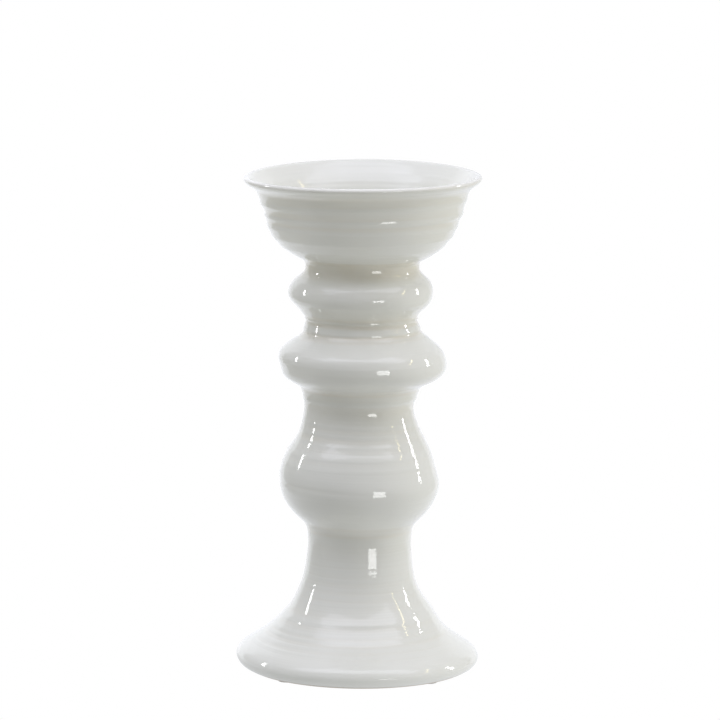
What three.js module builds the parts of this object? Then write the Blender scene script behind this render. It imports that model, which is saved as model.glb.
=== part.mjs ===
// Wheel-thrown ceramic candle holder on a turned stem, in millimetres, +Z up.
// Five hollow thrown sections are stacked with a spigot and socket at each joint and stuck with slip.
// The origin is the middle of the surface that the holder stands on, and the Z axis is its axis.
import * as THREE from "three";

// Driving dimensions
const HEIGHT = 300; // from the underside of the pads to the top of the lip
const SEGMENTS = 36; // flats round each turned piece
const OUTER_STEPS = 2; // rows of flats between two neighbouring points of an outer outline
const INNER_STEPS = 1; // and of an inner one, which is out of sight

const GAP = 0.3; // clearance between pieces that touch
const SLIP_THICKNESS = 0.8; // layer of joining slip in each joint
const SPIGOT_LENGTH = 5;
const SPIGOT_WALL = 3;

const PAD_COUNT = 4;
const PAD_RADIUS = 5;
const PAD_THICKNESS = 1;
const PAD_SEGMENTS = 16;
const FOOT_RING_INNER = 53; // flat ring of bare clay that the pads are stuck to
const FOOT_RING_OUTER = 67;
const FOOT_RING_Z = PAD_THICKNESS + GAP;

const CUP_FLOOR_Z = 258; // candle seat
const CUP_FLOOR_RADIUS = 40; // where the flat seat turns up into the wall
const CUP_CEILING_Z = 250; // underside of the cup's floor, inside the stem

// Joints from the cup down: height, outer radius of the clay there, and outer radius of the spigot
const CUP_JOINT = { z: 245, outer: 34.2, spigot: 30.2 };
const KNOP_JOINT = { z: 212, outer: 33.8, spigot: 30.2 };
const NECK_JOINT = { z: 171, outer: 35.8, spigot: 30.8 };
const FOOT_JOINT = { z: 85, outer: 31.8, spigot: 28 };

const GLAZE = { color: 0xe4e4de, roughness: 0.15, metalness: 0 };
const SLIP = { color: 0xd8d4c8, roughness: 0.3, metalness: 0 };
const FELT = { color: 0xc9c4b8, roughness: 0.95, metalness: 0 };

// Smooth outline through hand-set [radius, height] points
function smooth(points, steps = OUTER_STEPS) {
  const path = new THREE.CatmullRomCurve3(points.map(([r, z]) => new THREE.Vector3(r, z, 0)));
  return path.getPoints((points.length - 1) * steps).map((p) => [p.x, p.y]);
}

// Turned piece from [radius, height] points that run anticlockwise round its half-section
function turned(name, outline, finish, segments = SEGMENTS) {
  const geometry = new THREE.LatheGeometry(outline.map(([r, z]) => new THREE.Vector2(r, z)), segments);
  geometry.rotateX(Math.PI / 2);
  const mesh = new THREE.Mesh(geometry, new THREE.MeshStandardMaterial(finish));
  mesh.name = name;
  return mesh;
}

// Heights of the clay faces above and below a joint's slip
function shoulderZ(joint) {
  return joint.z + SLIP_THICKNESS / 2 + GAP;
}

function rimZ(joint) {
  return joint.z - SLIP_THICKNESS / 2 - GAP;
}

// Half-section stretch of the spigot below a section, from the bore out to the shoulder
function spigot(joint) {
  const tip = rimZ(joint) - SPIGOT_LENGTH + GAP;
  return [[joint.spigot - SPIGOT_WALL, tip], [joint.spigot, tip], [joint.spigot, shoulderZ(joint)]];
}

// Half-section stretch of the socket in the top of a section, from the rim in to the bore
function socket(joint) {
  const bottom = rimZ(joint) - SPIGOT_LENGTH;
  const radius = joint.spigot + GAP;
  return [[radius, rimZ(joint)], [radius, bottom], [joint.spigot - SPIGOT_WALL, bottom]];
}

// Hollow section that is open at both ends
function tubeSection(name, below, outer, above, inner) {
  const outline = [...spigot(below), ...smooth(outer), ...socket(above), ...smooth(inner, INNER_STEPS)];
  outline.push(outline[0]);
  return turned(name, outline, GLAZE);
}

function cup() {
  const outer = [
    [CUP_JOINT.outer, shoulderZ(CUP_JOINT)], [34.9, 248], [40.2, 251.3], [47.3, 256], [52.1, 261],
    [55.9, 267], [58.3, 275], [61, 282.6], [63.2, 289.2], [65, 292.2], [69.5, 295.6],
  ];
  const lip = [
    [69.5, 295.6], [71.6, 298.1], [71, HEIGHT - 0.5], [69.2, HEIGHT], [67.2, 298.8], [64.6, 295.8],
  ];
  const inner = [
    [64.6, 295.8], [60.2, 290], [56.4, 281], [53.2, 271], [49.6, 263.6], [46, 259.6],
    [CUP_FLOOR_RADIUS, CUP_FLOOR_Z],
  ];
  const ceiling = [[0, CUP_CEILING_Z], [CUP_JOINT.spigot - SPIGOT_WALL, CUP_CEILING_Z]];
  const outline = [
    ...ceiling, ...spigot(CUP_JOINT), ...smooth(outer), ...smooth(lip).slice(1),
    ...smooth(inner, INNER_STEPS).slice(1), [0, CUP_FLOOR_Z],
  ];
  return turned("cup", outline, GLAZE);
}

function upperKnop() {
  const outer = [
    [KNOP_JOINT.outer - 0.4, shoulderZ(KNOP_JOINT)], [34, 215.2], [37.2, 219.4], [41.5, 223.8],
    [43.5, 228.4], [42.7, 233.2], [40.2, 237], [35.6, 241], [CUP_JOINT.outer, rimZ(CUP_JOINT)],
  ];
  const inner = [[27.2, 237.6], [33.6, 233], [36, 228], [33.2, 223], [27.2, 218.4]];
  return tubeSection("upper_knop", KNOP_JOINT, outer, CUP_JOINT, inner);
}

function lowerKnop() {
  const outer = [
    [NECK_JOINT.outer + 0.2, shoulderZ(NECK_JOINT)], [38.5, 173.8], [46.4, 178.4], [49.6, 183.4],
    [50.3, 188.4], [49.2, 193.8], [44.8, 198], [39.2, 202.2], [37.2, 203.6], [34.8, 207.4],
    [KNOP_JOINT.outer, rimZ(KNOP_JOINT)],
  ];
  const inner = [[27.2, 203.4], [34.4, 198], [42, 193], [43.4, 188], [41, 182], [34, 177.6], [27.8, 174]];
  return tubeSection("lower_knop", NECK_JOINT, outer, KNOP_JOINT, inner);
}

function bulb() {
  const outer = [
    [FOOT_JOINT.outer, shoulderZ(FOOT_JOINT)], [33.8, 89.6], [40, 95.8], [45.4, 103.6], [48.1, 112.6],
    [46.9, 122.4], [43.2, 133], [37.2, 143.8], [34.1, 153], [33, 160.4],
    [NECK_JOINT.outer - 0.4, rimZ(NECK_JOINT)],
  ];
  const inner = [
    [27.8, 163], [27.6, 155], [31, 145], [37, 133], [40.6, 122], [41.4, 112.6], [38.6, 103.6],
    [32, 95], [25, 89],
  ];
  return tubeSection("bulb", FOOT_JOINT, outer, NECK_JOINT, inner);
}

function foot() {
  const outer = [
    [FOOT_RING_OUTER, FOOT_RING_Z], [71.2, 3.6], [73.2, 7.8], [71.2, 12], [63.9, 17.2], [54.1, 24.2],
    [45.6, 34], [38.4, 44.6], [34.1, 54.6], [32.1, 66], [31.2, 77],
    [FOOT_JOINT.outer - 0.2, rimZ(FOOT_JOINT)],
  ];
  const inner = [
    [25, 72], [27, 60], [31.4, 46], [39, 33], [48, 22], [53.6, 13.4], [54.4, 7],
    [FOOT_RING_INNER, FOOT_RING_Z],
  ];
  const outline = [...smooth(outer), ...socket(FOOT_JOINT), ...smooth(inner, INNER_STEPS)];
  outline.push(outline[0]);
  return turned("foot", outline, GLAZE);
}

// Ring of slip round a spigot, between the shoulder above and the rim below
function slipRing(name, joint) {
  const low = joint.z - SLIP_THICKNESS / 2;
  const high = joint.z + SLIP_THICKNESS / 2;
  const inside = joint.spigot + GAP;
  const outline = [[inside, low], [joint.outer, low], [joint.outer, high], [inside, high], [inside, low]];
  return turned(name, outline, SLIP);
}

// Felt discs on the middle of the foot ring, between the X and Y axes
function feltPads() {
  const ring = (FOOT_RING_INNER + FOOT_RING_OUTER) / 2;
  return Array.from({ length: PAD_COUNT }, (_, i) => {
    const outline = [[0, 0], [PAD_RADIUS, 0], [PAD_RADIUS, PAD_THICKNESS], [0, PAD_THICKNESS]];
    const pad = turned(`felt_pad_${i + 1}`, outline, FELT, PAD_SEGMENTS);
    const angle = ((i + 0.5) / PAD_COUNT) * 2 * Math.PI;
    pad.position.set(ring * Math.cos(angle), ring * Math.sin(angle), 0);
    return pad;
  });
}

const candleHolder = new THREE.Group();
candleHolder.add(cup(), upperKnop(), lowerKnop(), bulb(), foot());
candleHolder.add(slipRing("cup_joint_slip", CUP_JOINT));
candleHolder.add(slipRing("knop_joint_slip", KNOP_JOINT));
candleHolder.add(slipRing("neck_joint_slip", NECK_JOINT));
candleHolder.add(slipRing("foot_joint_slip", FOOT_JOINT));
candleHolder.add(...feltPads());

export default candleHolder;
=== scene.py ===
"""Looks for a glazed, wheel-thrown candle holder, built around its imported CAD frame.

Metres, +Z up. The five thrown sections, the slip in their joints and the felt pads are rebuilt as fine
meshes from the frame's own half-sections: one flowing glazed outline, cut where the joints are.
"""

import math

import bpy
import numpy as np
from mathutils import Matrix, Vector


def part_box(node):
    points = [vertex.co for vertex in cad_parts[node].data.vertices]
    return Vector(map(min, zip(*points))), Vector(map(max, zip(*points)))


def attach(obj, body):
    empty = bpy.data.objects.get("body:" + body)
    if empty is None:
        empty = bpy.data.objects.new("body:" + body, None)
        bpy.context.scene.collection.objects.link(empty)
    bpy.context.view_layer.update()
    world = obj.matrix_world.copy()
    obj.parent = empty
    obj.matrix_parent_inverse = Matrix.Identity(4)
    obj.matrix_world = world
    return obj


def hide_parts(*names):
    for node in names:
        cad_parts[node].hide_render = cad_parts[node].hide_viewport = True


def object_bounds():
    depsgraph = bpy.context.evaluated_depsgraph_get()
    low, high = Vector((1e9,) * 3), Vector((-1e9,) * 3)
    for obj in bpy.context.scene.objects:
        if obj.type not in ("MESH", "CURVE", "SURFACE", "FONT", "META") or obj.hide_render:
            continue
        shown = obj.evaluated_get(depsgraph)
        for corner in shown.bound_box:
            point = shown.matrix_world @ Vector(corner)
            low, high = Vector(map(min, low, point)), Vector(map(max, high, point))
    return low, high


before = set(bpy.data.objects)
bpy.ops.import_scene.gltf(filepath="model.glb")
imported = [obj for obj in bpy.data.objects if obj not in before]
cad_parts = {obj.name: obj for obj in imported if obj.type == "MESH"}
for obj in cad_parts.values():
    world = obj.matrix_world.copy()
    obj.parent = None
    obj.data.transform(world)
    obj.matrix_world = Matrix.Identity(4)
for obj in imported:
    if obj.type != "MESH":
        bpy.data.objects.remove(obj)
cad_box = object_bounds()

MM = 0.001
TINY = 1e-6
TURN = 2 * math.pi

# Fineness of the meshes: steps round the piece, along its outline, and along the curve before it is softened
SEGMENTS = 160
OUTER_STEP = 0.5 * MM
CURVE_STEP = 0.25 * MM

# How far the clearance beside each slip ring reaches, and how much glaze softens the outline
SEAM = 0.3 * MM
SOFTENING = 0.7 * MM
# The softening reaches this many times its width to each side
SOFTENING_REACH = 4
# How far under the glaze a slip ring's own hidden faces start
SLIP_SHELF = 1 * MM
# How much a wrong radius counts against a wrong level when a place on the outline is looked up
RADIUS_WEIGHT = 0.1

SECTIONS = ("foot", "bulb", "lower_knop", "upper_knop", "cup")
SLIPS = ("foot_joint_slip", "neck_joint_slip", "knop_joint_slip", "cup_joint_slip")
PADS = sorted(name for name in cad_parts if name.startswith("felt_pad"))

HEIGHT = cad_box[1][2]


# ---------------------------------------------------------------- half-sections of the CAD pieces


def half_section(node):
    """The node's outline in the half-plane towards -Y, as an ordered (n, 2) array of radius and height."""
    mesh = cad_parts[node].data
    corners = {}
    for v in mesh.vertices:
        if abs(v.co.x) < TINY and v.co.y < TINY:
            corners[v.index] = (round(-v.co.y, 6), round(v.co.z, 6))
    neighbours = {}
    for edge in mesh.edges:
        a, b = (corners.get(i) for i in edge.vertices)
        if a and b and a != b:
            neighbours.setdefault(a, set()).add(b)
            neighbours.setdefault(b, set()).add(a)
    on_axis = [p for p in neighbours if len(neighbours[p]) == 1]
    path = [max(on_axis or neighbours, key=lambda p: (-p[1], p[0]))]
    while True:
        ahead = [p for p in sorted(neighbours[path[-1]]) if p not in path[-2:] and p != path[0]]
        if not ahead:
            break
        path.append(ahead[0])
    return np.array(path)


def nearest(points, target):
    """The index of the point that is nearest to the target."""
    return int(np.argmin(np.hypot(*(points - np.array(target)).T)))


def stretches(section, start, end):
    """The two ways from the point nearest to start to the point nearest to end: the outer one first."""
    i, j = nearest(section, start), nearest(section, end)
    n = len(section)
    one = [section[k % n] for k in range(i, i + (j - i) % n + 1)]
    other = [section[k % n] for k in range(i, i - (i - j) % n - 1, -1)]
    return sorted((np.array(one), np.array(other)), key=lambda s: -s[:, 0].max())


# ---------------------------------------------------------------- one flowing outline


def catmull_rom(points, step):
    """A centripetal Catmull-Rom curve through the points, sampled about every step."""
    ends = (2 * points[0] - points[1], 2 * points[-1] - points[-2])
    p = np.vstack([ends[0], points, ends[1]])
    knots = np.concatenate([[0], np.cumsum(np.sqrt(np.hypot(*np.diff(p, axis=0).T)))])
    samples = []
    for i in range(1, len(p) - 2):
        t0, t1, t2, t3 = knots[i - 1 : i + 3]
        count = max(1, round(math.dist(p[i], p[i + 1]) / step))
        t = np.linspace(t1, t2, count, endpoint=False)[:, None]
        a1 = ((t1 - t) * p[i - 1] + (t - t0) * p[i]) / (t1 - t0)
        a2 = ((t2 - t) * p[i] + (t - t1) * p[i + 1]) / (t2 - t1)
        a3 = ((t3 - t) * p[i + 1] + (t - t2) * p[i + 2]) / (t3 - t2)
        b1 = ((t2 - t) * a1 + (t - t0) * a2) / (t2 - t0)
        b2 = ((t3 - t) * a2 + (t - t1) * a3) / (t3 - t1)
        samples.append(((t2 - t) * b1 + (t - t1) * b2) / (t2 - t1))
    return np.vstack([*samples, p[-2]])


def along(points):
    """How far along the outline each point is."""
    return np.concatenate([[0], np.cumsum(np.hypot(*np.diff(points, axis=0).T))])


def evenly(points, step):
    """The same outline with its points about step apart."""
    s = along(points)
    even = np.linspace(0, s[-1], max(2, round(s[-1] / step) + 1))
    return np.stack([np.interp(even, s, points[:, k]) for k in (0, 1)], axis=1)


def softened(points, step, width):
    """Rounds off corners, as a coat of glaze does, and keeps both ends where they are."""
    reach = round(SOFTENING_REACH * width / step)
    weights = np.exp(-0.5 * (np.arange(-reach, reach + 1) * step / width) ** 2)
    weights /= weights.sum()
    head = 2 * points[0] - points[reach:0:-1]
    tail = 2 * points[-1] - points[-2 : -reach - 2 : -1]
    padded = np.vstack([head, points, tail])
    return np.stack([np.convolve(padded[:, k], weights, "valid") for k in (0, 1)], axis=1)


def joint(slip):
    """The rim below a joint and the shoulder above it, as two heights, and the joint's radius."""
    low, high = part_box(slip)
    return low.z - SEAM, high.z + SEAM, high.x


def ends_of(name):
    """Where a section's glazed stretch starts and stops: on the shoulder above the joint below it, and on the
    rim under the joint above it. The foot starts at its widest radius and lowest level, and the cup stops in
    the middle at the level of its lip."""
    i = SECTIONS.index(name)
    low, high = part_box(name)
    start = (high.x, low.z)
    stop = (0.0, high.z)
    if name != "foot":
        _, shoulder, radius = joint(SLIPS[i - 1])
        start = (radius, shoulder)
    if name != "cup":
        rim, _, radius = joint(SLIPS[i])
        stop = (radius, rim)
    return start, stop


def ring_edge(section):
    """The outer edge of the face that the foot stands on."""
    return max(section, key=lambda p: (-round(p[1] / MM), p[0]))


def glazed_outline():
    """The whole glazed surface, from the foot ring over the lip to the middle of the cup."""
    stretch = []
    for name in SECTIONS:
        section = half_section(name)
        start, stop = ends_of(name)
        if name == "foot":
            start = ring_edge(section)
        if name == "cup":
            stretch.append(section[nearest(section, start) :])
        else:
            stretch.append(stretches(section, start, stop)[0])
    fine = evenly(catmull_rom(np.vstack(stretch), CURVE_STEP), CURVE_STEP)
    return evenly(softened(fine, CURVE_STEP, SOFTENING), OUTER_STEP)


def normals(points):
    """Unit normals of the outline, which point away from the clay."""
    slope = np.gradient(points, axis=0)
    normal = np.stack([slope[:, 1], -slope[:, 0]], axis=1)
    return normal / np.hypot(*normal.T)[:, None]


# ---------------------------------------------------------------- marks of the potter's hand


ANGLES = np.arange(SEGMENTS) * TURN / SEGMENTS

# How widely glaze runs together and the painted shade in the hollows spreads, how tight a hollow fills with
# it and how tight a crest thins it
POOL_AND_SHADE_REACH = 2.5 * MM
POOL_AND_SHADE_RADIUS = 5
THIN_RADIUS = 1.6
THIN_START = 0.35
# The wiped foot ring: how wide it is, how much its edge wanders and how softly the glaze starts
BARE_RING = 3 * MM
BARE_WANDER = 0.3
BARE_FADE = 0.5 * MM
BARE_SEED = 77
# The creamy tint under the cup, partly glaze that has run together and partly painted shade in the groove
# there, stronger on the front and right
BLUSH_AND_SHADE = 1.3
BLUSH_AND_SHADE_LEVEL = 248 * MM
BLUSH_AND_SHADE_HEIGHT = 2.4 * MM
BLUSH_AND_SHADE_RADIUS = 40 * MM
BLUSH_AND_SHADE_SIDE = math.radians(25)
BLUSH_AND_SHADE_SWING = 0.5


def ripple(angle, seed, orders=(1, 2, 3, 5)):
    """A smooth random wave round the piece, between about -1 and 1."""
    rng = np.random.default_rng(seed)
    wave = sum(
        rng.uniform(0.4, 1) / n**0.5 * np.cos(n * angle + rng.uniform(0, TURN)) for n in orders
    )
    return wave / 1.6


# Ridges that the fingers left, by section, in millimetres: height of the crest on the front, half-width below
# and above it, rise (a hollow where it is negative), how much higher the crest runs on the right, and the
# share of the rise that is lost (or gained, where negative) on the side away from an angle, which is given in
# degrees from the front towards the right
RIDGES = {
    "cup": (
        (284.5, 1.8, 1.8, 0.36, 1.5, -0.7, 0),
        (276.6, 1.9, 1.45, 0.60, 1.1, -0.2, 0),
        (269.8, 1.7, 1.6, 0.30, 0.3, -0.6, 0),
        (263.5, 1.8, 1.6, 0.26, 0.5, -0.6, 0),
        (257.5, 1.6, 1.3, 0.10, 0.4, 0.5, -60),
    ),
    "upper_knop": (
        (243.4, 1.1, 1.2, -0.25, 0.0, 0.1, 0),
        (234.2, 2.0, 2.0, -0.06, 0.2, 0.2, -20),
        (224.6, 1.3, 1.3, 0.06, 0.5, 0.5, 0),
        (219.0, 1.2, 1.2, 0.06, 0.5, 0.5, 0),
        (213.7, 0.8, 0.75, 0.45, 0.0, 0.1, 0),
    ),
    "lower_knop": (
        (207.7, 1.2, 3.2, 0.50, 0.1, 0.1, 0),
        (206.0, 0.9, 0.9, -0.30, 0.1, 0.1, 0),
        (193.6, 2.3, 2.3, -0.14, 0.2, 0.2, -20),
        (189.2, 2.2, 2.0, 0.14, 0.1, 0.2, 0),
        (181.5, 1.4, 1.4, 0.06, 0.5, 0.5, 30),
    ),
    "bulb": (
        (165.3, 1.0, 1.7, 0.26, 0.2, 0.1, 20),
        (151.4, 1.2, 1.6, 0.11, -0.5, 0.2, 60),
        (146.4, 1.1, 1.8, 0.16, -0.3, 0.2, 40),
        (140.6, 1.2, 1.6, 0.12, -0.4, 0.2, 60),
        (133.4, 1.1, 3.0, 0.25, 0.3, 0.4, -10),
        (127.2, 1.3, 1.8, 0.12, 0.4, 0.3, 60),
        (113.6, 1.8, 1.4, -0.20, -2.2, 1.0, -80),
        (107.5, 1.2, 1.4, 0.06, -1.0, 0.5, 0),
        (101.0, 1.3, 1.4, 0.05, 0.5, 0.5, 0),
    ),
    "foot": (
        (66.0, 0.8, 0.8, -0.06, 0.0, 0.2, 15),
        (58.6, 1.4, 1.4, 0.04, 0.3, 0.4, 0),
        (53.9, 1.4, 1.4, 0.06, 0.2, 0.4, 0),
        (49.3, 1.4, 1.4, 0.06, 0.3, 0.4, 0),
        (44.9, 1.4, 1.4, 0.07, 0.2, 0.4, 0),
        (34.2, 1.2, 3.0, 0.24, 0.3, 0.5, -15),
        (28.6, 1.0, 1.7, 0.10, 0.8, 0.8, -30),
        (25.0, 0.9, 1.6, 0.13, 0.9, 0.9, -10),
        (21.6, 0.9, 1.5, 0.12, 0.9, 0.9, -45),
        (18.3, 0.8, 1.4, 0.08, 0.7, 0.9, -20),
    ),
}
# How much a ridge's rise and its level wander round the piece
RIDGE_SWELL = 0.15
RIDGE_WANDER = 0.35
# Over how many millimetres from the joints the marks start
FADE = 1.2
# Fine rings from the fingertips: how many sets, how far apart they are, how much they wander, and their rise
FINE_SETS = 7
FINE_PERIOD = 2.0
FINE_WANDER = 0.6
FINE_RINGS = {"cup": 0.012, "bulb": 0.010, "foot": 0.010, "lower_knop": 0.010, "upper_knop": 0.013}
# Inside the bowl: the rise of the rings, how much wider apart they are, and how softly they start at the lip
# and in the middle
BOWL_RINGS = 0.035
BOWL_PERIOD = 2
BOWL_LIP_FADE = 4
BOWL_MIDDLE_FADE = 8 * MM
# Seeds of the marks: by section, by ridge, and for the bowl
SECTION_SEED = 100
FINE_SEED = 1000
BOWL_SEED = 3000

# How far the wall bulges towards +X and stays back on the other side, by height, in millimetres
LEAN = (
    (0, 0.0), (4, -0.1), (11, -0.75), (20, -0.65), (25, -0.5), (31, 0.1), (38, 0.85), (43, 0.45),
    (50, 0.0), (72, 0.3), (88, 0.25), (103, -0.1), (112, -0.05), (123, -1.1), (133, -0.6),
    (143, 0.1), (150, -0.45), (160, -0.95), (167, -0.3), (176, 0.1), (184, 1.5), (192, 0.3),
    (198, 0.3), (204.5, 0.8), (213, 0.0), (217, -0.3), (222, 0.0), (228, -0.65), (236, 0.1),
    (241, 0.4), (250, 0.25), (268, 0.0), (278, 0.6), (283, 0.3), (292, 0.0), (300, 0.0),
)
LEAN_STEP = 0.25
# The lip rises towards +X and +Y, and its front and back stand above its sides, in millimetres
LIP_TILT_X = 0.8
LIP_TILT_Y = 1.4
LIP_SADDLE = 0.55
# How many millimetres below the lip its sway reaches, and the level below which there is none
LIP_DEPTH = 12
LIP_FROM = 250 * MM


def finger_ridge(level, ridge, seed):
    """One ridge round the piece, as a height by level and angle, in millimetres."""
    crest, below, above, rise, climb, loss, strongest = ridge
    turned = ANGLES - math.radians(strongest)
    strength = 1 - loss * (1 - np.cos(turned)) / 2 + RIDGE_SWELL * ripple(ANGLES, seed)
    away = level - crest - climb * np.sin(ANGLES) - RIDGE_WANDER * ripple(ANGLES, seed + 50, (2, 3))
    width = np.where(away < 0, below, above)
    return rise * np.clip(strength, 0, None) * np.exp(-((away / width) ** 2))


def fine_rings(distance, seed):
    """Fine wandering rings, between about -1 and 1, by distance along the outline and angle. Every other set
    climbs as it goes round."""
    rng = np.random.default_rng(seed)
    rings = 0
    for n in range(FINE_SETS):
        period = FINE_PERIOD * rng.uniform(0.6, 2.0)
        phase = rng.uniform(0, TURN) - ANGLES * (n % 2)
        wander = FINE_WANDER * ripple(ANGLES, seed + 10 + n, (1, 2, 3))
        rings = rings + rng.uniform(0.3, 0.7) * np.cos(TURN * (distance + wander) / period + phase)
    return rings


def relief(points, outside):
    """How far the thrown surface stands off the smooth outline, by point and angle, in metres."""
    distance = along(points)[:, None] / MM
    level = points[:, 1][:, None] / MM
    height = np.zeros((len(points), SEGMENTS))
    for i, name in enumerate(SECTIONS):
        low, high = (v / MM for v in span(name))
        within = np.clip((level - low) / FADE, 0, 1) * np.clip((high - level) / FADE, 0, 1) * outside[:, None]
        seed = SECTION_SEED * i
        ridges = sum(finger_ridge(level, ridge, seed + k) for k, ridge in enumerate(RIDGES[name]))
        ridges = ridges - (ridges * within).sum() / (within.sum() * SEGMENTS)
        height += within * (ridges + FINE_RINGS[name] * fine_rings(distance, FINE_SEED + seed))
    bowl = (1 - outside)[:, None] * np.clip((HEIGHT / MM - level) / BOWL_LIP_FADE, 0, 1)
    bowl = bowl * np.clip(points[:, :1] / BOWL_MIDDLE_FADE, 0, 1)
    height += bowl * BOWL_RINGS * fine_rings(distance / BOWL_PERIOD, BOWL_SEED)
    return height * MM


def lean(points, outside):
    """How far the wall bulges to one side, by point and angle, in metres."""
    levels, bulge = np.array(LEAN).T
    knots = catmull_rom(np.stack([levels, bulge], axis=1), LEAN_STEP)
    sideways = np.interp(points[:, 1] / MM, knots[:, 0], knots[:, 1])
    return (sideways * outside)[:, None] * np.sin(ANGLES) * MM


def lip_sway(points):
    """How far the lip stands above its level, by point and angle, in metres."""
    depth = HEIGHT / MM - points[:, 1] / MM
    share = np.exp(-((depth / LIP_DEPTH) ** 2)) * (points[:, 1] > LIP_FROM)
    sway = LIP_TILT_X * np.sin(ANGLES) - LIP_TILT_Y * np.cos(ANGLES) + LIP_SADDLE * np.cos(2 * ANGLES)
    return share[:, None] * sway * MM


def span(name):
    """The lowest and highest level of a section's glazed stretch."""
    start, stop = ends_of(name)
    return (start[1], stop[1])


# ---------------------------------------------------------------- meshes


def ring_mesh(name, rows, coat, sharp=(), closed=True):
    """A closed body from rows of points round the axis. A row with one point closes the body on the axis.
    Coat gives, row by row, how much glaze lies on the clay, how much it runs together with painted shade in
    the hollows and how thin it is. Sharp names the rows whose edges stay crisp."""
    starts = np.concatenate([[0], np.cumsum([len(row) for row in rows])])
    faces = []
    pairs = list(zip(range(len(rows) - 1), range(1, len(rows))))
    if closed:
        pairs.append((len(rows) - 1, 0))
    for a, b in pairs:
        for k in range(SEGMENTS):
            m = (k + 1) % SEGMENTS
            face = [starts[a] + k, starts[a] + m, starts[b] + m, starts[b] + k]
            if len(rows[a]) == 1:
                face = [starts[a], starts[b] + m, starts[b] + k]
            elif len(rows[b]) == 1:
                face = [starts[a] + k, starts[a] + m, starts[b]]
            faces.append([int(i) for i in face])
    mesh = bpy.data.meshes.new(name)
    mesh.from_pydata(np.vstack(rows).tolist(), [], faces)
    mesh.shade_smooth()
    corners = set()
    for r in sharp:
        corners |= {frozenset((starts[r] + k, starts[r] + (k + 1) % SEGMENTS)) for k in range(SEGMENTS)}
    edges = mesh.attributes.new("sharp_edge", "BOOLEAN", "EDGE")
    edges.data.foreach_set("value", [frozenset(edge.vertices) in corners for edge in mesh.edges])
    for k, layer in enumerate(("glazed", "pooled_and_shade", "thin")):
        values = np.concatenate([np.broadcast_to(part[k], len(row)) for part, row in zip(coat, rows)])
        attribute = mesh.attributes.new(layer, "FLOAT", "POINT")
        attribute.data.foreach_set("value", values.astype(np.float32))
    piece = bpy.data.objects.new(name, mesh)
    bpy.context.scene.collection.objects.link(piece)
    return piece


def round_rows(points):
    """Rows round the axis for plain points of a half-section; a point on the axis gives one vertex."""
    rows = []
    for r, z in points:
        if r < TINY:
            rows.append(np.array([[0.0, 0.0, z]]))
        else:
            rows.append(np.stack([r * np.sin(ANGLES), -r * np.cos(ANGLES), np.full(SEGMENTS, z)], axis=1))
    return rows


outline = glazed_outline()
normal = normals(outline)
lip = int(np.argmax(outline[:, 1]))
outside = (np.arange(len(outline)) < lip).astype(float)
offset = relief(outline, outside) + lean(outline, outside)
surface_r = outline[:, :1] + offset * normal[:, :1]
surface_z = outline[:, 1:] + offset * normal[:, 1:] + lip_sway(outline)
surface = np.stack([surface_r * np.sin(ANGLES), -surface_r * np.cos(ANGLES), surface_z], axis=2)


def glaze_coat():
    """How much glaze lies on the clay, how much it runs together in the hollows with painted shade there and
    under the cup, and how thin it is on the crests.
    """
    slope_r, slope_z = np.gradient(surface_r, axis=0), np.gradient(surface_z, axis=0)
    turn = np.gradient(np.unwrap(np.arctan2(slope_z, slope_r), axis=0), axis=0)
    bend = turn / np.hypot(slope_r, slope_z) * MM
    reach = round(POOL_AND_SHADE_REACH / OUTER_STEP)
    weights = np.hanning(2 * reach + 1)
    weights /= weights.sum()
    padded = np.pad(bend, ((reach, reach), (0, 0)), mode="edge")
    bend = sum(w * padded[k : k + len(bend)] for k, w in enumerate(weights))
    # Painted shade in the groove under the cup, partly glaze that has run together there, stronger on the
    # front and right
    blush_and_shade = np.exp(-(((outline[:, 1:] - BLUSH_AND_SHADE_LEVEL) / BLUSH_AND_SHADE_HEIGHT) ** 2)) * BLUSH_AND_SHADE
    blush_and_shade = blush_and_shade * (outline[:, :1] < BLUSH_AND_SHADE_RADIUS) * (1 + BLUSH_AND_SHADE_SWING * np.cos(ANGLES - BLUSH_AND_SHADE_SIDE))
    # Darker, creamier hollows: partly glaze that has run together, partly painted shade
    pooled_and_shade = np.clip(-bend * POOL_AND_SHADE_RADIUS, 0, 1) + blush_and_shade
    thin = np.clip(bend * THIN_RADIUS - THIN_START, 0, 1)
    distance = along(outline)[:, None]
    edge = BARE_RING * (1 + BARE_WANDER * ripple(ANGLES, BARE_SEED))
    glazed = np.clip((distance - edge) / BARE_FADE, 0, 1)
    return [(glazed[k], pooled_and_shade[k], thin[k]) for k in range(len(outline))]


coat = glaze_coat()
BARE = (0.0, 0.0, 0.0)


def level_index(level, radius):
    """Where the outside of the outline passes a level near that radius."""
    near = np.abs(outline[:, 1] - level) + np.abs(outline[:, 0] - radius) * RADIUS_WEIGHT
    return int(np.argmin(near[:lip]))


cuts = [(level_index(rim, r), level_index(shoulder, r)) for rim, shoulder, r in map(joint, SLIPS)]


def section_piece(name):
    """One thrown section: its glazed stretch of the flowing surface and its own hidden inner faces."""
    i = SECTIONS.index(name)
    first = cuts[i - 1][1] if i else 0
    last = cuts[i][0] if i < len(cuts) else len(outline) - 1
    rows = [surface[k] for k in range(first, last + 1)]
    layers = coat[first : last + 1]
    start, stop = ends_of(name)
    section = half_section(name)
    if name == "foot":
        start = ring_edge(section)
    if name == "cup":
        rows[-1] = np.array([[0.0, 0.0, outline[-1][1]]])
        layers[-1] = (1.0, 0.0, 0.0)
        hidden = section[: nearest(section, start)]
        rows = round_rows(hidden) + rows
        layers = [BARE] * len(hidden) + layers
        return ring_mesh(name + "_glazed", rows, layers, [len(hidden), len(hidden) - 1], closed=False)
    hidden = stretches(section, stop, start)[1][1:-1]
    layers = layers + [BARE] * len(hidden)
    return ring_mesh(name + "_glazed", rows + round_rows(hidden), layers, [0, len(rows) - 1])


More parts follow.
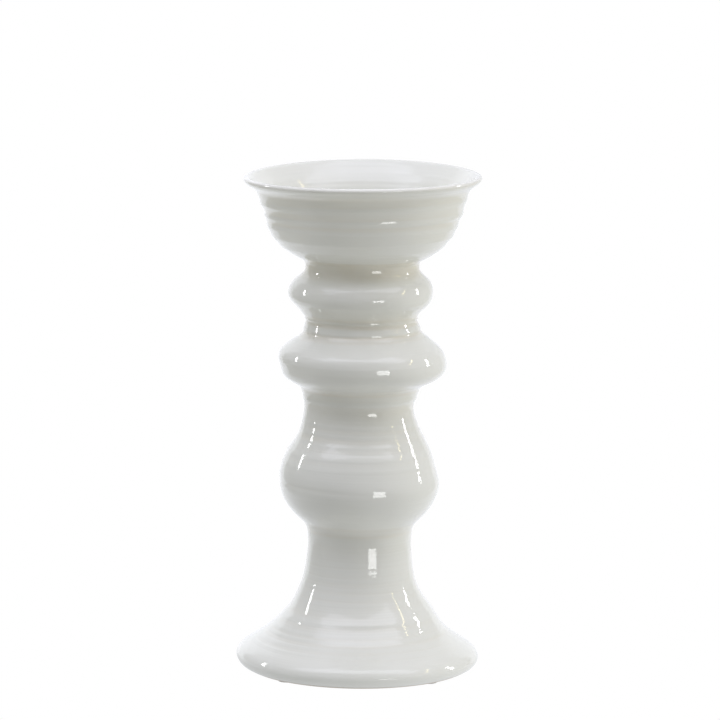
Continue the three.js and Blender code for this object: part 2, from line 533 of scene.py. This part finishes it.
def slip_piece(name, cut):
    """The ring of joining slip and glaze that closes a joint flush with the sections beside it."""
    rows = [surface[k] for k in range(cut[0], cut[1] + 1)]
    low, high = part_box(name)
    inner = half_section(name)[:, 0].min()
    shelf = high.x - SLIP_SHELF
    hidden = [(shelf, high.z), (inner, high.z), (inner, low.z), (shelf, low.z)]
    layers = coat[cut[0] : cut[1] + 1] + [BARE] * len(hidden)
    rows = rows + round_rows(hidden)
    return ring_mesh(name.replace("_slip", "_glaze_fillet"), rows, layers, [0, cut[1] - cut[0]])


# A felt pad's rounded edge above and below its widest level, from the top face down: the share of its radius
# and how far in from the face it lies, in millimetres. Last, how much the edge wanders, as a share
PAD_SEGMENTS = 32
PAD_TOP = ((0.6, 0.0), (0.9, 0.02), (0.99, 0.25))
PAD_BOTTOM = ((0.99, 0.2), (0.93, 0.02), (0.6, 0.0))
PAD_RAGGED = 0.015


def felt_piece(name):
    """A felt disc with a soft, slightly uneven edge."""
    low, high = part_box(name)
    centre = (low + high) / 2
    radius = (high.x - low.x) / 2
    profile = [(share, high.z - inset * MM) for share, inset in PAD_TOP]
    profile.append((1.0, centre.z))
    profile += [(share, low.z + inset * MM) for share, inset in PAD_BOTTOM]
    rng = np.random.default_rng(int(name[-1]))
    vertices, faces = [], []
    for share, z in profile:
        for k in range(PAD_SEGMENTS):
            a = TURN * k / PAD_SEGMENTS
            r = radius * share * (1 - PAD_RAGGED * rng.uniform())
            vertices.append((centre.x + r * math.cos(a), centre.y + r * math.sin(a), z))
    top, bottom = len(vertices), len(vertices) + 1
    vertices += [(centre.x, centre.y, high.z), (centre.x, centre.y, low.z)]
    last = (len(profile) - 1) * PAD_SEGMENTS
    for k in range(PAD_SEGMENTS):
        m = (k + 1) % PAD_SEGMENTS
        faces.append((top, k, m))
        for a in range(0, last, PAD_SEGMENTS):
            b = a + PAD_SEGMENTS
            faces.append((a + k, b + k, b + m, a + m))
        faces.append((bottom, last + m, last + k))
    mesh = bpy.data.meshes.new(name)
    mesh.from_pydata(vertices, [], faces)
    mesh.shade_smooth()
    piece = bpy.data.objects.new(name + "_soft", mesh)
    bpy.context.scene.collection.objects.link(piece)
    return piece


pieces = {}
for name in SECTIONS:
    pieces[name] = section_piece(name)
for name, cut in zip(SLIPS, cuts):
    pieces[name] = slip_piece(name, cut)
for name in PADS:
    pieces[name] = felt_piece(name)


# ---------------------------------------------------------------- materials


# The white glaze, where it is light and where it is a little deeper, and its few iron flecks
WHITE_LIGHT = (0.835, 0.835, 0.775, 1)
WHITE_DEEP = (0.805, 0.805, 0.740, 1)
FLECK = (0.62, 0.58, 0.50, 1)
# Glaze that has run together, darker and creamier, with painted shade in the hollows, and thin glaze over a
# tight crest, each with how strongly it shows
POOL_AND_SHADE_CREAM = (0.74, 0.63, 0.42, 1)
POOL_AND_SHADE_DEPTH = 0.30
THIN_CLAY = (0.78, 0.755, 0.70, 1)
THIN_DEPTH = 0.5
# Bare clay, and its roughness
CLAY_LIGHT = (0.72, 0.67, 0.58, 1)
CLAY_DEEP = (0.58, 0.52, 0.43, 1)
CLAY_ROUGHNESS = 0.75
# Roughness of the glaze, where it is glossiest and where it is dullest
GLOSS_BEST = 0.045
GLOSS_DULL = 0.085
GLAZE_IOR = 1.5
FELT_LIGHT = (0.84, 0.83, 0.80, 1)
FELT_DEEP = (0.62, 0.60, 0.56, 1)
FELT_ROUGHNESS = 0.95
FELT_SHEEN = 0.2
# How many of each mark there are to a metre
CLOUDS = 22.0
DULL_PATCHES = 30.0
STREAKS = 60.0
PINHOLE_PATCHES = 120.0
SKIN_WAVES = 170.0
PINHOLES = 260.0
RAGGED_EDGE = 350.0
FLECKS = 900.0
CLAY_GRAINS = 1400.0
FELT_BENDS = 500.0
FELT_MATS = 700.0
FELT_FIBRES = 900.0
# How deep they are, and how far a felt fibre bends
SKIN_DEPTH = 0.012 * MM
PINHOLE_DEPTH = 0.03 * MM
GRAIN_DEPTH = 0.12 * MM
FIBRE_DEPTH = 0.25 * MM
FIBRE_BEND = 4 * MM


def new_material(name):
    """An empty node material and its node tree."""
    material = bpy.data.materials.new(name)
    material.use_nodes = True
    tree = material.node_tree
    tree.nodes.clear()
    return material, tree


def principled(tree, **sockets):
    """A principled shader on the tree's surface, with constants set on its sockets."""
    shader = tree.nodes.new("ShaderNodeBsdfPrincipled")
    output = tree.nodes.new("ShaderNodeOutputMaterial")
    tree.links.new(shader.outputs[0], output.inputs["Surface"])
    for key, value in sockets.items():
        shader.inputs[key.replace("_", " ")].default_value = value
    return shader


class Nodes:
    """Short ways to put shader nodes together in one tree."""

    def __init__(self, tree):
        self.tree = tree

    def add(self, kind, inputs=(), **settings):
        node = self.tree.nodes.new(kind)
        for key, value in settings.items():
            setattr(node, key, value)
        for key, value in dict(inputs).items():
            if hasattr(value, "is_output"):
                self.tree.links.new(value, node.inputs[key])
            else:
                node.inputs[key].default_value = value
        return node

    def attribute(self, name):
        return self.add("ShaderNodeAttribute", attribute_name=name).outputs["Fac"]

    def noise(self, place, scale, detail=3.0, roughness=0.5):
        inputs = {"Vector": place, "Scale": scale, "Detail": detail, "Roughness": roughness}
        return self.add("ShaderNodeTexNoise", inputs).outputs["Fac"]

    def spread(self, value, low, high, to_low=0.0, to_high=1.0):
        """Value mapped from low..high to to_low..to_high and held within them."""
        inputs = {"Value": value, "From Min": low, "From Max": high, "To Min": to_low, "To Max": to_high}
        return self.add("ShaderNodeMapRange", inputs).outputs["Result"]

    def math(self, operation, a, b):
        return self.add("ShaderNodeMath", {0: a, 1: b}, operation=operation).outputs[0]

    def mix(self, share, a, b):
        node = self.add("ShaderNodeMix", data_type="RGBA")
        for socket, value in ((0, share), (6, a), (7, b)):
            if hasattr(value, "is_output"):
                self.tree.links.new(value, node.inputs[socket])
            else:
                node.inputs[socket].default_value = value
        return node.outputs[2]

    def bump(self, height, distance, normal=None):
        inputs = {"Height": height, "Distance": distance, "Strength": 1.0}
        if normal:
            inputs["Normal"] = normal
        return self.add("ShaderNodeBump", inputs).outputs[0]


def glaze(name, extra_pool_and_shade):
    """Glossy white glaze over off-white clay. The extra share is how much more it has run together and turned
    creamy, with painted shade.
    """
    material, tree = new_material(name)
    n = Nodes(tree)
    shader = principled(tree, IOR=GLAZE_IOR)
    place = n.add("ShaderNodeTexCoord").outputs["Object"]
    glazed, pooled_and_shade, thin = (n.attribute(layer) for layer in ("glazed", "pooled_and_shade", "thin"))

    cloud = n.spread(n.noise(place, CLOUDS, 2.0), 0.3, 0.7)
    white = n.mix(cloud, WHITE_LIGHT, WHITE_DEEP)
    fleck = n.spread(n.noise(place, FLECKS, 2.0, 0.6), 0.68, 0.78, 0.0, 0.10)
    white = n.mix(fleck, white, FLECK)
    streak = n.spread(n.noise(place, STREAKS, 4.0, 0.6), 0.35, 0.75, 0.6, 1.0)
    # Creamy colour of glaze that has run together, darker in the hollows and under the cup: partly real,
    # partly painted shade
    pool_and_shade = n.math("MULTIPLY", n.math("MINIMUM", n.math("ADD", pooled_and_shade, extra_pool_and_shade), 1.0), streak)
    white = n.mix(n.math("MULTIPLY", pool_and_shade, POOL_AND_SHADE_DEPTH), white, POOL_AND_SHADE_CREAM)
    white = n.mix(n.math("MULTIPLY", thin, THIN_DEPTH), white, THIN_CLAY)

    grain = n.noise(place, CLAY_GRAINS, 4.0, 0.7)
    clay = n.mix(n.spread(grain, 0.35, 0.65), CLAY_LIGHT, CLAY_DEEP)
    ragged = n.math("ADD", glazed, n.spread(n.noise(place, RAGGED_EDGE, 3.0), 0.3, 0.7, -0.35, 0.35))
    covered = n.spread(ragged, 0.45, 0.55)
    tree.links.new(n.mix(covered, clay, white), shader.inputs["Base Color"])

    gloss = n.spread(n.noise(place, DULL_PATCHES, 4.0, 0.6), 0.3, 0.7, GLOSS_BEST, GLOSS_DULL)
    roughness = {0: covered, 2: CLAY_ROUGHNESS, 3: gloss}
    rough = n.add("ShaderNodeMix", roughness, data_type="FLOAT").outputs[0]
    tree.links.new(rough, shader.inputs["Roughness"])

    skin = n.noise(place, SKIN_WAVES, 2.0)
    pits = n.add("ShaderNodeTexVoronoi", {"Vector": place, "Scale": PINHOLES}).outputs["Distance"]
    pinhole = n.spread(pits, 0.02, 0.10)
    rare = n.spread(n.noise(place, PINHOLE_PATCHES, 1.0), 0.60, 0.64)
    pinhole = n.math("SUBTRACT", 1.0, n.math("MULTIPLY", n.math("SUBTRACT", 1.0, pinhole), rare))
    normal = n.bump(skin, SKIN_DEPTH)
    normal = n.bump(pinhole, PINHOLE_DEPTH, normal)
    bare = n.math("MULTIPLY", n.math("SUBTRACT", 1.0, covered), grain)
    tree.links.new(n.bump(bare, GRAIN_DEPTH, normal), shader.inputs["Normal"])
    return material


def felt():
    """Off-white wool felt with matted fibres."""
    material, tree = new_material("felt")
    n = Nodes(tree)
    shader = principled(tree, Roughness=FELT_ROUGHNESS)
    shader.inputs["Specular IOR Level"].default_value = FELT_SHEEN
    place = n.add("ShaderNodeTexCoord").outputs["Object"]
    bends = {"Vector": place, "Scale": FELT_BENDS, "Detail": 2.0}
    bent = n.add("ShaderNodeTexNoise", bends).outputs["Color"]
    swirl = n.add("ShaderNodeVectorMath", {0: bent, "Scale": FIBRE_BEND}, operation="SCALE").outputs[0]
    moved = n.add("ShaderNodeVectorMath", {0: place, 1: swirl}, operation="ADD").outputs[0]
    waves = {"Vector": moved, "Scale": FELT_FIBRES, "Distortion": 6.0}
    fibres = n.add("ShaderNodeTexWave", waves).outputs["Fac"]
    matted = n.noise(place, FELT_MATS, 6.0, 0.7)
    wool = n.math("MULTIPLY", fibres, matted)
    tree.links.new(n.mix(n.spread(wool, 0.1, 0.6), FELT_DEEP, FELT_LIGHT), shader.inputs["Base Color"])
    tree.links.new(n.bump(wool, FIBRE_DEPTH), shader.inputs["Normal"])
    return material


# The joints get more of the creamy colour of glaze that has run together, with painted shade
SLIP_POOL_AND_SHADE = 0.15

finishes = {
    "glaze": glaze("white_glaze", 0.0),
    "slip": glaze("white_glaze_in_joints", SLIP_POOL_AND_SHADE),
    "felt": felt(),
}
for node, piece in pieces.items():
    finish = "felt" if node in PADS else "slip" if node in SLIPS else "glaze"
    piece.data.materials.append(finishes[finish])
    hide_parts(node)
    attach(piece, "root")


# ---------------------------------------------------------------- camera


# In metres and millimetres of focal length. The roll tips the picture a little, as the photographer did
CAMERA_DISTANCE = 2.6
CAMERA_HEIGHT = 0.587
CAMERA_AIM = 0.18796
CAMERA_LENS = 218.94
CAMERA_ROLL = math.radians(0.57)
CAMERA_SIDE = -0.5 * MM
SENSOR_WIDTH = 36


def add_camera():
    """The camera in front of the piece, a little above it."""
    camera = bpy.data.objects.new("camera", bpy.data.cameras.new("camera"))
    bpy.context.scene.collection.objects.link(camera)
    place = Vector((CAMERA_SIDE, -CAMERA_DISTANCE, CAMERA_HEIGHT))
    look = Vector((CAMERA_SIDE, 0, CAMERA_AIM)) - place
    turn = look.to_track_quat("-Z", "Y").to_matrix().to_4x4()
    roll = Matrix.Rotation(CAMERA_ROLL, 4, "Z")
    camera.matrix_world = Matrix.Translation(place) @ turn @ roll
    camera.data.lens = CAMERA_LENS
    camera.data.sensor_width = SENSOR_WIDTH
    bpy.context.scene.camera = camera


add_camera()


# ---------------------------------------------------------------- stage and lights


def emission(name, strength, colour=(1, 1, 1)):
    """A glowing material, its node tree and its emission node."""
    material, tree = new_material(name)
    glow = tree.nodes.new("ShaderNodeEmission")
    output = tree.nodes.new("ShaderNodeOutputMaterial")
    tree.links.new(glow.outputs[0], output.inputs["Surface"])
    glow.inputs["Color"].default_value = (*colour, 1)
    glow.inputs["Strength"].default_value = strength
    return material, tree, glow


# The white sheet under and behind the piece: where its bend starts and ends, how high and wide it is
SHEET_DEPTH = -0.5 * MM
SHEET_LEFT, SHEET_RIGHT = -0.30, 0.28
SHEET_BEND, SHEET_BACK = 0.13, 0.30
# Its glow on the left, in the middle and on the right: by y on the flat part, from the start to the end of
# the bend, and by z on the wall
SHEET_FLAT = (
    (-0.22, 0.12, 0.22, 0.48),
    (-0.10, 0.45, 0.45, 0.78),
    (0.0, 0.85, 0.70, 0.96),
    (0.10, 1.20, 0.85, 1.00),
)
SHEET_CURVE = ((1.25, 0.85, 1.05), (1.28, 0.95, 1.10), (1.25, 1.00, 1.00))
SHEET_WALL = ((0.28, 1.20, 1.00, 0.85), (0.40, 1.20, 1.00, 0.80), (0.52, 1.10, 1.00, 0.80))
SHEET_COLOUR = (0.98, 1.0, 1.06)
SHEET_ACROSS = 9
SHEET_ROUND = 25


def sheet_rows():
    """The sheet's side view with its glow: y, z, left, middle, right."""
    rows = [(y, SHEET_DEPTH, *glow) for y, *glow in SHEET_FLAT]
    bend = SHEET_BACK - SHEET_BEND
    for a in np.linspace(0, math.pi / 2, SHEET_ROUND):
        share = a / (math.pi / 2) * (len(SHEET_CURVE) - 1)
        glow = [np.interp(share, range(len(SHEET_CURVE)), column) for column in zip(*SHEET_CURVE)]
        rows.append((SHEET_BEND + bend * math.sin(a), SHEET_DEPTH + bend * (1 - math.cos(a)), *glow))
    rows += [(SHEET_BACK, z, *glow) for z, *glow in SHEET_WALL]
    return rows


def add_sheet():
    """The glowing sheet, which only reflections and soft light see."""
    across = np.linspace(SHEET_LEFT, SHEET_RIGHT, SHEET_ACROSS)
    vertices, faces, glows = [], [], []
    for y, z, *glow in sheet_rows():
        for x in across:
            vertices.append((x, y, z))
            glows.append(float(np.interp(x, (SHEET_LEFT / 2, 0, SHEET_RIGHT / 2), glow)))
    wide = len(across)
    for k in range(len(vertices) // wide - 1):
        for i in range(wide - 1):
            a = k * wide + i
            faces.append((a, a + 1, a + wide + 1, a + wide))
    material, tree, light = emission("sheet_glow", 1.0, SHEET_COLOUR)
    tree.links.new(Nodes(tree).attribute("glow"), light.inputs["Strength"])
    mesh = bpy.data.meshes.new("sheet")
    mesh.from_pydata(vertices, [], faces)
    mesh.attributes.new("glow", "FLOAT", "POINT").data.foreach_set("value", glows)
    mesh.materials.append(material)
    sheet = bpy.data.objects.new("sheet", mesh)
    bpy.context.scene.collection.objects.link(sheet)
    sheet.visible_camera = False
    sheet.visible_shadow = False


FLOOR_HALF = 3.0


def add_floor():
    """The plain white floor the camera sees. It is see-through from beneath."""
    material, tree, light = emission("floor_white", 1.0)
    n = Nodes(tree)
    clear = n.add("ShaderNodeBsdfTransparent").outputs[0]
    beneath = n.add("ShaderNodeNewGeometry").outputs["Backfacing"]
    both = n.add("ShaderNodeMixShader", {0: beneath, 1: light.outputs[0], 2: clear}).outputs[0]
    tree.links.new(both, tree.nodes["Material Output"].inputs["Surface"])
    mesh = bpy.data.meshes.new("floor")
    corners = ((-1, -1), (1, -1), (1, 1), (-1, 1))
    mesh.from_pydata([(x * FLOOR_HALF, y * FLOOR_HALF, SHEET_DEPTH) for x, y in corners], [], [(0, 1, 2, 3)])
    mesh.materials.append(material)
    floor = bpy.data.objects.new("floor", mesh)
    bpy.context.scene.collection.objects.link(floor)
    floor.visible_diffuse = False
    floor.visible_glossy = False
    floor.visible_transmission = False
    floor.visible_shadow = False


add_sheet()
add_floor()


def area_light(name, azimuth, elevation, distance, width, height, strength, colour=(1, 1, 1), roll=0):
    """A rectangular lamp that shines at the middle of the piece, placed by azimuth from +Y towards +X and
    elevation, in degrees, and rolled about its own axis. Strength is its radiance."""
    az, el = math.radians(azimuth), math.radians(elevation)
    aim = Vector((0, 0, HEIGHT / 2))
    towards = Vector((math.sin(az) * math.cos(el), math.cos(az) * math.cos(el), math.sin(el)))
    place = aim + distance * towards
    data = bpy.data.lights.new(name, "AREA")
    data.shape = "RECTANGLE"
    data.size, data.size_y = width, height
    data.energy = strength * width * height * math.pi
    data.color = colour
    lamp = bpy.data.objects.new(name, data)
    bpy.context.scene.collection.objects.link(lamp)
    turn = (aim - place).to_track_quat("-Z", "Y").to_matrix().to_4x4()
    lamp.matrix_world = Matrix.Translation(place) @ turn @ Matrix.Rotation(math.radians(roll), 4, "Z")
    lamp.visible_camera = False


area_light("left_strip", -75, 19, 1.6, 0.11, 0.62, 16, roll=25)
area_light("right_strip", 75, 18, 1.6, 0.12, 0.60, 18, roll=-18)
area_light("front_softbox", 151.5, -7.5, 2.6, 0.80, 0.75, 8)
area_light("overhead_softbox", 180, 71, 0.75, 1.50, 0.46, 1.52, (0.96, 0.965, 1.12))
area_light("warm_tube", 99, 33, 1.6, 0.03, 0.7, 14, (1, 0.85, 0.45), roll=-40)

# What the room sends from each elevation (degrees): from the front, the left, the back and the right. No
# value is above the peak, so the ramps hold shares of it between 0 and 1
ROOM_PEAK = 1.25
ROOM_LIGHT = (
    (-90, (0.42, 0.60, 0.60, 0.58)),
    (-35, (0.22, 0.76, 0.82, 0.86)),
    (-15, (0.02, 0.46, 0.78, 0.68)),
    (0, (0.00, 0.35, 0.64, 0.50)),
    (15, (0.16, 0.47, 0.54, 0.44)),
    (30, (0.22, 0.45, 0.62, 0.24)),
    (45, (0.38, 0.48, 0.76, 0.24)),
    (60, (0.74, 0.66, 0.82, 0.42)),
    (90, (1.14, 1.14, 1.14, 1.05)),
)
# Which way those four sides lie, as x and y
ROOM_SIDES = ((0, -1), (-1, 0), (0, 1), (1, 0))
# The tint of the light from below and from above
ROOM_LOW = (1.0, 1.0, 0.92, 1)
ROOM_HIGH = (0.97, 0.985, 1.06, 1)


def studio_world():
    """A softly lit white room for the piece, and plain white behind it for the camera."""
    world = bpy.data.worlds.new("studio")
    bpy.context.scene.world = world
    world.use_nodes = True
    tree = world.node_tree
    tree.nodes.clear()
    n = Nodes(tree)
    towards = n.add("ShaderNodeTexCoord").outputs["Generated"]
    axes = n.add("ShaderNodeSeparateXYZ", {0: towards}).outputs
    rise = n.spread(axes[2], -1.0, 1.0)
    flat = n.math("SUBTRACT", 1.0001, n.math("MULTIPLY", axes[2], axes[2]))
    total = 0.0
    for side, (x, y) in enumerate(ROOM_SIDES):
        ramp = n.add("ShaderNodeValToRGB", {0: rise})
        stops = ramp.color_ramp.elements
        while len(stops) < len(ROOM_LIGHT):
            stops.new(0.5)
        for stop, (elevation, _) in zip(stops, ROOM_LIGHT):
            stop.position = 0.5 + 0.5 * math.sin(math.radians(elevation))
        for stop, (_, light) in zip(stops, ROOM_LIGHT):
            stop.color = (*[light[side] / ROOM_PEAK] * 3, 1)
        facing = n.math("MAXIMUM", n.math("MULTIPLY", axes[0] if x else axes[1], float(x + y)), 0.0)
        share = n.math("DIVIDE", n.math("MULTIPLY", facing, facing), flat)
        part = n.math("MULTIPLY", share, ramp.outputs[0])
        total = n.math("ADD", part, total)
    strength = n.math("MULTIPLY", total, ROOM_PEAK)
    tint = n.mix(rise, ROOM_LOW, ROOM_HIGH)
    room = n.add("ShaderNodeBackground", {"Color": tint, "Strength": strength}).outputs[0]
    plain = n.add("ShaderNodeBackground", {"Color": (1, 1, 1, 1), "Strength": 1.0}).outputs[0]
    seen = n.add("ShaderNodeLightPath").outputs["Is Camera Ray"]
    both = n.add("ShaderNodeMixShader", {0: seen, 1: room, 2: plain}).outputs[0]
    n.add("ShaderNodeOutputWorld", {"Surface": both})


studio_world()
bpy.context.scene.view_settings.view_transform = "Standard"
